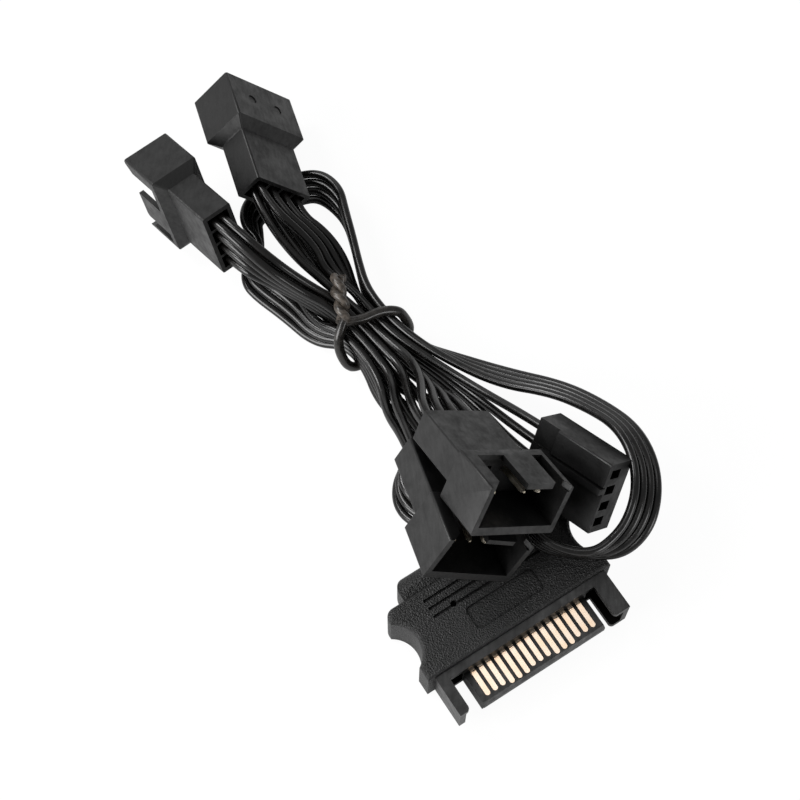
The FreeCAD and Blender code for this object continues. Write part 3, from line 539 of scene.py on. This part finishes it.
def round_spline(name, points, diameter, sides=5):
    """Curve object: one open NURBS spline of order three with a round section."""
    curve = bpy.data.curves.new(name, "CURVE")
    curve.dimensions = "3D"
    curve.resolution_u = 10
    curve.bevel_depth = diameter * MM / 2.0
    curve.bevel_resolution = sides
    curve.use_fill_caps = True
    spline = curve.splines.new("NURBS")
    spline.points.add(len(points) - 1)
    for control, point in zip(spline.points, points):
        control.co = (*point, 1.0)
    spline.order_u = 3
    spline.use_endpoint_u = True
    made = bpy.data.objects.new(name, curve)
    scene.collection.objects.link(made)
    return made


def spline_line(made):
    """Points along the middle of a curve object, read from it with its section left out."""
    depth = made.data.bevel_depth
    made.data.bevel_depth = 0.0
    caps = made.data.use_fill_caps
    made.data.use_fill_caps = False
    bare = made.evaluated_get(bpy.context.evaluated_depsgraph_get())
    line = bpy.data.meshes.new_from_object(bare)
    points = [vertex.co.copy() for vertex in line.vertices]
    bpy.data.meshes.remove(line)
    made.data.bevel_depth = depth
    made.data.use_fill_caps = caps
    return points


print("a flat ribbon is", round(WIRES_PER_RIBBON * STRAND_STEP, 2), "mm wide")

# %% Draw the five ribbons
UPPER = {1: -ROW_HALF, 2: -ROW_HALF, 3: ROW_HALF, 4: ROW_HALF}
SOCKETS = {1: SOCKET_1, 2: SOCKET_2, 3: SOCKET_3, 4: SOCKET_4}


def fan_end(number, upper):
    """Ribbon end in a fan socket, in the row nearer the camera or the one below it."""
    row = UPPER[number] if upper else -UPPER[number]
    return plug_end(SOCKETS[number], SOCKET_LENGTH, row, -PIN_PITCH)


header_end = plug_end(HEADER, HEADER_LENGTH, 0.0, PIN_PITCH)
RIBBONS = [
    ("wire_1_header", fan_end(1, True), ROUTE_1_HEADER, header_end),
    ("wire_1_3", fan_end(1, False), ROUTE_1_3, fan_end(3, True)),
    ("wire_2_3", fan_end(2, True), ROUTE_2_3, fan_end(3, False)),
    ("wire_2_4", fan_end(2, False), ROUTE_2_4, fan_end(4, True)),
    ("wire_4_sata", fan_end(4, False), ROUTE_4_SATA, sata_end()),
]
for name, start, route, finish in RIBBONS:
    for strand in range(WIRES_PER_RIBBON):
        node = "%s_%d" % (name, strand + 1)
        points = strand_points(start, route, finish, strand)
        wire = round_spline("jacket_" + node, points, WIRE_DIA)
        wire.data.materials.append(wire_jacket)
        line = spline_line(wire)
        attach(wire, "root")
        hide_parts(node)

# %% [markdown]
# ## Press lines on the contacts
# Each of the fifteen contacts was bent in a press where it leaves the core, and the tool left a
# fine raised line across it. Fifteen like lines in a row are work for Geometry Nodes: a line of
# points at the contact pitch carries one small half-sunk rod each. Making the rods one by one in a
# loop would give the same, but here the count, the pitch and the size are inputs that can be
# changed. The tree makes the row in the plug's own frame and then sets it into the plug's pose.

# %% Press lines by Geometry Nodes
CONTACT_COUNT = 15
CONTACT_PITCH = 1.27
CONTACT_WIDTH = 0.75
CONTACT_TOP = 4.73
PRESS_LINE_AT = -0.5
PRESS_LINE_DIA = 0.2

press_tree = bpy.data.node_groups.new("press_lines", "GeometryNodeTree")
press_tree.interface.new_socket("Geometry", in_out="OUTPUT", socket_type="NodeSocketGeometry")
press_sizes = {}
for label, kind, value in (("Count", "NodeSocketInt", CONTACT_COUNT),
                           ("Pitch", "NodeSocketFloat", CONTACT_PITCH * MM),
                           ("Width", "NodeSocketFloat", CONTACT_WIDTH * MM),
                           ("Diameter", "NodeSocketFloat", PRESS_LINE_DIA * MM)):
    socket = press_tree.interface.new_socket(label, in_out="INPUT", socket_type=kind)
    press_sizes[socket.identifier] = value

sizes = add_node(press_tree, "NodeGroupInput").outputs
apart = add_node(press_tree, "ShaderNodeCombineXYZ", None, {"X": sizes["Pitch"]})
radius = add_node(press_tree, "ShaderNodeMath", {"operation": "MULTIPLY"}, {
    0: sizes["Diameter"], 1: 0.5})
row = add_node(press_tree, "GeometryNodeMeshLine", {"mode": "OFFSET"}, {
    "Count": sizes["Count"], "Offset": apart.outputs["Vector"],
    "Start Location": (-0.5 * (CONTACT_COUNT - 1) * CONTACT_PITCH * MM, 0.0, 0.0)})
rod = add_node(press_tree, "GeometryNodeMeshCylinder", None, {
    "Vertices": 10, "Radius": radius.outputs["Value"], "Depth": sizes["Width"]})
lines = add_node(press_tree, "GeometryNodeInstanceOnPoints", None, {
    "Points": row.outputs["Mesh"], "Instance": rod.outputs["Mesh"],
    "Rotation": (0.0, math.radians(90.0), 0.0)})
along, out, across = plug_axes(SATA)
turn = math.atan2(across.y, across.x)
spot = (SATA[0] + along * PRESS_LINE_AT + out * CONTACT_TOP - ORIGIN) * MM
posed = add_node(press_tree, "GeometryNodeTransform", None, {
    "Geometry": lines.outputs["Instances"], "Translation": spot, "Rotation": (0.0, 0.0, turn)})
solid_row = add_node(press_tree, "GeometryNodeRealizeInstances", None, {
    "Geometry": posed.outputs["Geometry"]})
plated = add_node(press_tree, "GeometryNodeSetMaterial", None, {
    "Geometry": solid_row.outputs["Geometry"], "Material": contact_gold})
add_node(press_tree, "NodeGroupOutput", None, {"Geometry": plated.outputs["Geometry"]})

blank = bpy.data.meshes.new("contact_press_lines")
press_lines = bpy.data.objects.new("contact_press_lines", blank)
scene.collection.objects.link(press_lines)
maker = press_lines.modifiers.new("press_lines", "NODES")
maker.node_group = press_tree
for identifier, value in press_sizes.items():
    maker[identifier] = value
made_row = press_lines.evaluated_get(bpy.context.evaluated_depsgraph_get())
press_lines.data = bpy.data.meshes.new_from_object(made_row)
press_lines.modifiers.clear()
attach(press_lines, "root")
print("press lines with", len(press_lines.data.polygons), "faces")

# %% [markdown]
# ## Twist tie
# A plastic-covered steel wire goes once round the bundle. Its two ends cross in a knot and are
# twisted together into a tail that lies on the wires. A twisted picture on one rod would do from far
# off, but the strands catch the light one by one. So the loop is one spline, and the two strands of
# the tail wind round a middle line that is itself a spline, so the twist follows its bend.

# %% Twist tie
TIE_DIA = 1.5
TAIL_DIA = 1.3
TAIL_WIND = 0.6
TAIL_TURN = 4.6
KNOT_END = Vector((0.2, 0.5, 0.3))
TIE_LOOP = [
    (-3.0, -2.8, 8.9),
    (-1.0, -1.5, 8.6),
    (2.2, -1.0, 8.3),
    (4.9, 0.4, 7.4),
    (5.5, 1.5, 5.0),
    (5.8, 2.0, 2.7),
    (4.9, 2.4, 0.8),
    (0.2, 2.0, 0.8),
    (-4.3, 1.1, 0.8),
    (-5.4, 0.6, 2.4),
    (-5.7, -0.3, 4.4),
    (-5.5, -1.2, 6.4),
    (-4.6, -2.1, 8.1),
]
TIE_TAIL = [
    (-8.6, 11.2, 10.2),
    (-9.3, 13.2, 10.4),
    (-9.2, 15.6, 10.4),
]


def tie_point(across, along, height):
    """Point of the tie in the model's frame, from its place across, along and above the bundle."""
    spot = TIE_MIDDLE + TIE_SIDE * across + TIE_RUN * along + Vector((0.0, 0.0, height))
    return (spot - ORIGIN) * MM


loop_points = [tie_point(*p) for p in TIE_LOOP]
knot = loop_points[0]
tie_loop = round_spline("tie_loop", loop_points + [knot + KNOT_END * MM], TIE_DIA, 6)
tie_loop.data.materials.append(tie_jacket)
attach(tie_loop, "root")
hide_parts("twist_tie")

tail_points = [knot] + [(Vector(p) - ORIGIN) * MM for p in TIE_TAIL]
tail_route = round_spline("tail_route", tail_points, TAIL_DIA)
tail_line = spline_line(tail_route)
bpy.data.objects.remove(tail_route)
for strand, phase in enumerate((0.0, math.pi)):
    points = []
    walked = 0.0
    for index, here in enumerate(tail_line):
        ahead = tail_line[min(index + 1, len(tail_line) - 1)]
        behind = tail_line[max(index - 1, 0)]
        walked += (here - behind).length if index else 0.0
        run = (ahead - behind).normalized()
        side = run.cross(Vector((0.0, 0.0, 1.0))).normalized()
        lift = side.cross(run)
        angle = phase + 2.0 * math.pi * walked / (TAIL_TURN * MM)
        points.append(here + (side * math.cos(angle) + lift * math.sin(angle)) * TAIL_WIND * MM)
    tail = round_spline("tie_tail_%d" % (strand + 1), points, TAIL_DIA, 4)
    tail.data.materials.append(tail_jacket)
    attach(tail, "root")
print("tie loop of", len(loop_points), "points and a tail of", len(tail_line))

# %% [markdown]
# ## Floor and background
# The harness is shown on pure white, as in a catalogue. A strongly lit white floor would also light
# the black plugs from below and grey them. So the floor is matt paper in plain light, and Light Path
# mixes in a white glow for the rays that look at it: nearly all of it for the camera, which leaves a
# faint shadow, and a little of it for shiny surfaces, which still mirror a pale floor.

# %% Floor
FLOOR_REACH = 3000.0
FLOOR_DROP = 0.2
GLOW_SEEN = 0.9
GLOW_MIRRORED = 0.15
GLOW_STRENGTH = 1.05

floor_mesh = bpy.data.meshes.new("floor")
reach = FLOOR_REACH * MM
corners = [(x * reach, y * reach, 0.0) for x, y in ((-1, -1), (1, -1), (1, 1), (-1, 1))]
floor_mesh.from_pydata(corners, [], [(0, 1, 2, 3)])
floor = bpy.data.objects.new("floor", floor_mesh)
floor.location = (0.0, 0.0, -FLOOR_DROP * MM)
scene.collection.objects.link(floor)
paper, tree, place, output = new_finish("white_paper")
rays = add_node(tree, "ShaderNodeLightPath")
direct = add_node(tree, "ShaderNodeMath", {"operation": "MAXIMUM"}, {
    0: rays.outputs["Is Camera Ray"], 1: rays.outputs["Is Transmission Ray"]})
seen = add_node(tree, "ShaderNodeMath", {"operation": "MULTIPLY"}, {
    0: direct.outputs["Value"], 1: GLOW_SEEN})
share = add_node(tree, "ShaderNodeMath", {"operation": "MULTIPLY_ADD"}, {
    0: rays.outputs["Is Glossy Ray"], 1: GLOW_MIRRORED, 2: seen.outputs["Value"]})
matt = add_node(tree, "ShaderNodeBsdfDiffuse", None, {"Color": linear("#dcdcdc")})
white = add_node(tree, "ShaderNodeEmission", None, {
    "Color": linear("#ffffff"), "Strength": GLOW_STRENGTH})
mixed = add_node(tree, "ShaderNodeMixShader", None, {
    0: share.outputs["Value"], 1: matt.outputs["BSDF"], 2: white.outputs["Emission"]})
tree.links.new(mixed.outputs["Shader"], output.inputs["Surface"])
floor_mesh.materials.append(paper)
print("floor of", 2.0 * reach, "by", 2.0 * reach, "metres")

# %% [markdown]
# ## Lamps
# Black things show their form by the soft panels that they mirror, so each panel stands where one
# set of faces mirrors it. Two at the left, one in front and one behind, model the plugs and draw the
# bright lines along the wires. A small one overhead stands where the flat contacts mirror it. A weak
# one at the right front lifts the faces turned that way, and a wide weak one behind lifts the tops.
# The pale world gives the rest. One bare lamp would do for a shadow, but not for these faces.

# %% Lights and world
WORLD_STRENGTH = 0.25
# Name, place and aim in metres, width and height in metres, power in watts.
LIGHTS = [
    ("overhead", (0.02, 0.13, 0.63), (0.02, -0.04, 0.0), 0.22, 0.22, 0.24),
    ("left_front", (-0.46, -0.24, 0.26), (0.0, 0.0, 0.01), 0.36, 0.36, 3.0),
    ("left_back", (-0.37, 0.17, 0.43), (0.0, 0.0, 0.01), 0.20, 0.20, 1.5),
    ("right_front", (0.40, -0.40, 0.22), (0.0, 0.0, 0.01), 0.24, 0.24, 0.8),
    ("back_wall", (-0.12, 0.60, 0.30), (0.0, 0.0, 0.01), 0.60, 0.30, 0.36),
]
for name, place_at, aim, width, height, power in LIGHTS:
    lamp = bpy.data.lights.new(name, "AREA")
    lamp.shape = "RECTANGLE"
    lamp.size = width
    lamp.size_y = height
    lamp.energy = power
    holder = bpy.data.objects.new(name, lamp)
    holder.location = place_at
    holder.rotation_euler = (Vector(aim) - Vector(place_at)).to_track_quat("-Z", "Y").to_euler()
    scene.collection.objects.link(holder)

world = bpy.data.worlds.new("studio")
scene.world = world
world.use_nodes = True
sky = world.node_tree
sky.nodes.clear()
back = add_node(sky, "ShaderNodeBackground", None, {
    "Color": linear("#ffffff"), "Strength": WORLD_STRENGTH})
add_node(sky, "ShaderNodeOutputWorld", None, {"Surface": back.outputs["Background"]})
print("lit by", len(LIGHTS), "lamps")
